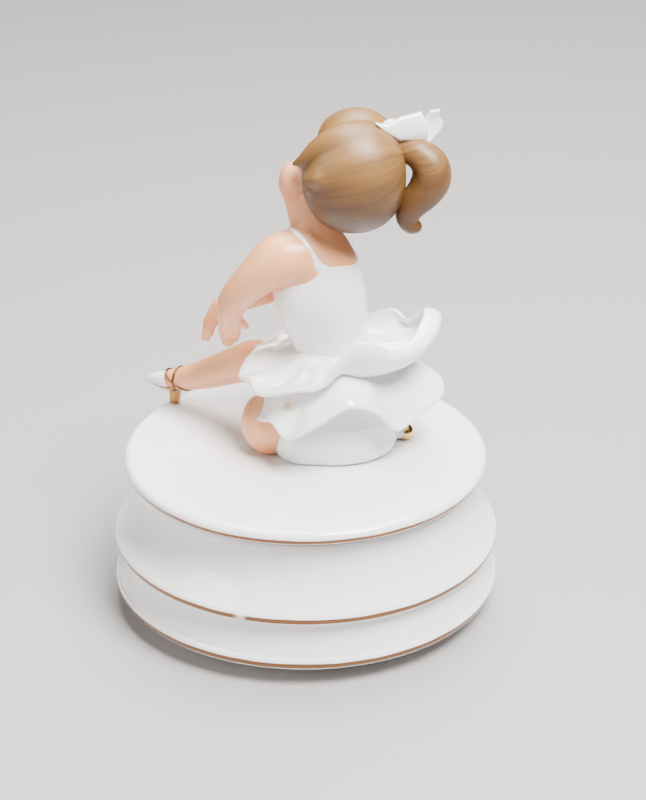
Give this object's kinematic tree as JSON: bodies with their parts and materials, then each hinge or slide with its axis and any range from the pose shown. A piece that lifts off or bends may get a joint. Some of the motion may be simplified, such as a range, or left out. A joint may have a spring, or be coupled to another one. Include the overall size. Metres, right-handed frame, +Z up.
{
  "type": "ballerina jewellery box",
  "caption": "Round porcelain music box with a jewellery well; its lift-off lid carries a seated child ballerina and turns on a clockwork movement.",
  "frame": {"origin": "centre of the foot ring, on the table", "axes": "+Z up along the lid spindle, +X to the right of the picture, +Y away from the camera; the figure sits with its back to -Y and faces -X and +Y"},
  "size_m": [0.1204, 0.1204, 0.1591],
  "materials": {
    "glazed_white": "clear gloss glaze over white porcelain",
    "painted_skin": "satin painted bisque",
    "painted_hair": "satin painted bisque with brushed strands",
    "gilded": "burnished gilding",
    "felt": "short felt",
    "clear_cover": "clear moulded",
    "brass": "satin",
    "steel": "fine brushed"
  },
  "bodies": {
    "box": {"box_shell": "glazed_white", "foot_felt": "felt", "well_liner": "felt", "dust_cover": "clear_cover", "bedplate": "brass", "movement_screws": "steel", "click_stud": "steel", "barrel_bridge": "brass", "cylinder_bearings": "brass", "comb": "steel", "comb_block": "brass", "comb_screws": "steel", "governor_housing": "brass"},
    "winding": {"winding_arbor": "steel", "winding_key": "steel", "ratchet_wheel": "steel"},
    "click": {"click": "steel"},
    "barrel": {"spring_barrel": "brass", "barrel_cap": "steel", "mainspring": "steel"},
    "cylinder": {"cylinder_arbor": "steel", "cylinder_drum": "brass", "cylinder_pins": "steel", "cylinder_pinion": "steel", "cylinder_gear": "brass"},
    "governor": {"governor_pinion": "brass"},
    "fan": {"governor_fan": "steel"},
    "lid": {"lid_plate": "glazed_white", "lid_hub": "brass", "hips": "glazed_white", "leotard": "glazed_white", "shoulders": "painted_skin", "head": "painted_skin", "hair_cap": "painted_hair", "ponytail": "painted_hair", "bow": "glazed_white", "near_arm": "painted_skin", "far_arm": "painted_skin", "straight_leg": "painted_skin", "bent_leg": "painted_skin", "straight_slipper": "glazed_white", "straight_sole": "gilded", "bent_slipper": "glazed_white", "bent_sole": "gilded", "tutu_upper": "glazed_white", "tutu_lower": "glazed_white"}
  },
  "joints": [
    {"name": "key_wind", "type": "hinge", "parent": "box", "child": "winding", "pos_m": [0, 0, 0.008], "axis": [0, 0, 1], "continuous": true},
    {"name": "click_lift", "type": "hinge", "parent": "box", "child": "click", "pos_m": [-0.008, -0.004, 0.0174], "axis": [0, 0, 1], "range_deg": [0, 12], "stiffness_Nm_per_rad": 0.0002, "springref_deg": -5.73},
    {"name": "barrel_turn", "type": "hinge", "parent": "box", "child": "barrel", "pos_m": [0, 0, 0.024], "axis": [0, 0, 1], "continuous": true},
    {"name": "cylinder_turn", "type": "hinge", "parent": "box", "child": "cylinder", "pos_m": [0.0232, 0, 0.02436], "axis": [1, 0, 0], "continuous": true},
    {"name": "governor_turn", "type": "hinge", "parent": "box", "child": "governor", "pos_m": [0.0328, -0.0084, 0.02436], "axis": [1, 0, 0], "continuous": true},
    {"name": "fan_turn", "type": "hinge", "parent": "box", "child": "fan", "pos_m": [0.02605, -0.01145, 0.03], "axis": [0, 0, 1], "continuous": true},
    {"name": "lid_lift", "type": "slide", "parent": "barrel", "child": "lid", "axis": [0, 0, 1], "range_m": [0, 0.06]}
  ],
  "couplings": [
    {"joint": "cylinder_turn", "follows": "barrel_turn", "ratio": 3},
    {"joint": "governor_turn", "follows": "barrel_turn", "ratio": -9.6},
    {"joint": "fan_turn", "follows": "barrel_turn", "ratio": -76.8}
  ]
}
